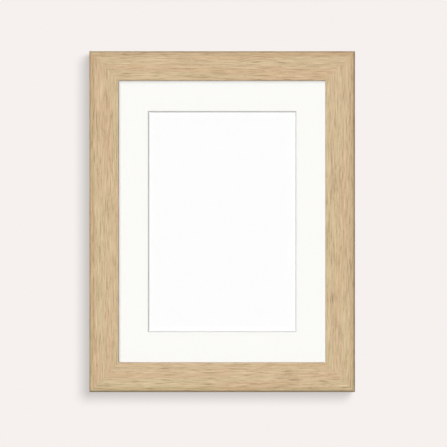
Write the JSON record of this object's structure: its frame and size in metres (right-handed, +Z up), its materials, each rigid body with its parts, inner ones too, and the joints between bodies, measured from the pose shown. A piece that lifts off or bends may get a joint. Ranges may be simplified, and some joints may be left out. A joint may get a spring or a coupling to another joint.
{
  "type": "picture frame",
  "caption": "Portrait mitred oak picture frame with glass, bevelled window mat, back board on turn buttons, easel strut and sawtooth hanger.",
  "frame": {"origin": "under the middle of the frame, on the plane of its bottom edge, halfway between the front face and the wall pads' faces", "axes": "+X to the right as seen from the front, +Y from the front to the wall, +Z up"},
  "size_m": [0.1798, 0.02, 0.2305],
  "materials": {
    "oak": "natural pale oak, lightly waxed",
    "fibreboard": "natural brown hard fibreboard",
    "steel": "bright zinc plated",
    "glass": "clear polished float glass",
    "mat_board": "warm white mat board",
    "photo_paper": "blank white photographic paper",
    "tape": "gummed paper tape",
    "grey_card": "grey board",
    "rubber": "matt black rubber"
  },
  "bodies": {
    "frame": {"rail_top": "oak", "rail_bottom": "oak", "stile_left": "oak", "stile_right": "oak", "v_nails_top_left": "steel", "v_nails_top_right": "steel", "v_nails_bottom_left": "steel", "v_nails_bottom_right": "steel", "glazing": "glass", "window_mat": "mat_board", "print_sheet": "photo_paper", "print_tapes": "tape", "backing_card": "grey_card", "back_board": "fibreboard", "turn_button_screws": "steel", "strut_hinge_board_leaf": "steel", "board_leaf_rivets": "steel", "strut_hinge_pin": "steel", "sawtooth_hanger": "steel", "hanger_nails": "steel", "wall_pad_left": "rubber", "wall_pad_right": "rubber"},
    "strut": {"strut": "fibreboard", "strut_hinge_strut_leaf": "steel", "strut_leaf_rivets": "steel"},
    "button_top_left": {"turn_button_top_left": "steel"},
    "button_top_right": {"turn_button_top_right": "steel"},
    "button_left": {"turn_button_left": "steel"},
    "button_right": {"turn_button_right": "steel"},
    "button_bottom_left": {"turn_button_bottom_left": "steel"},
    "button_bottom_right": {"turn_button_bottom_right": "steel"}
  },
  "joints": [
    {"name": "strut_swing", "type": "hinge", "parent": "frame", "child": "strut", "pos_m": [0, 0.00688, 0.14902], "axis": [1, 0, 0], "range_deg": [0, 30]},
    {"name": "button_top_left_turn", "type": "hinge", "parent": "frame", "child": "button_top_left", "pos_m": [-0.04492, 0.0055, 0.22398], "axis": [0, 1, 0], "continuous": true},
    {"name": "button_top_right_turn", "type": "hinge", "parent": "frame", "child": "button_top_right", "pos_m": [0.04492, 0.0055, 0.22398], "axis": [0, 1, 0], "continuous": true},
    {"name": "button_left_turn", "type": "hinge", "parent": "frame", "child": "button_left", "pos_m": [-0.08332, 0.0055, 0.11525], "axis": [0, 1, 0], "continuous": true},
    {"name": "button_right_turn", "type": "hinge", "parent": "frame", "child": "button_right", "pos_m": [0.08332, 0.0055, 0.11525], "axis": [0, 1, 0], "continuous": true},
    {"name": "button_bottom_left_turn", "type": "hinge", "parent": "frame", "child": "button_bottom_left", "pos_m": [-0.04492, 0.0055, 0.00653], "axis": [0, 1, 0], "continuous": true},
    {"name": "button_bottom_right_turn", "type": "hinge", "parent": "frame", "child": "button_bottom_right", "pos_m": [0.04492, 0.0055, 0.00653], "axis": [0, 1, 0], "continuous": true}
  ]
}
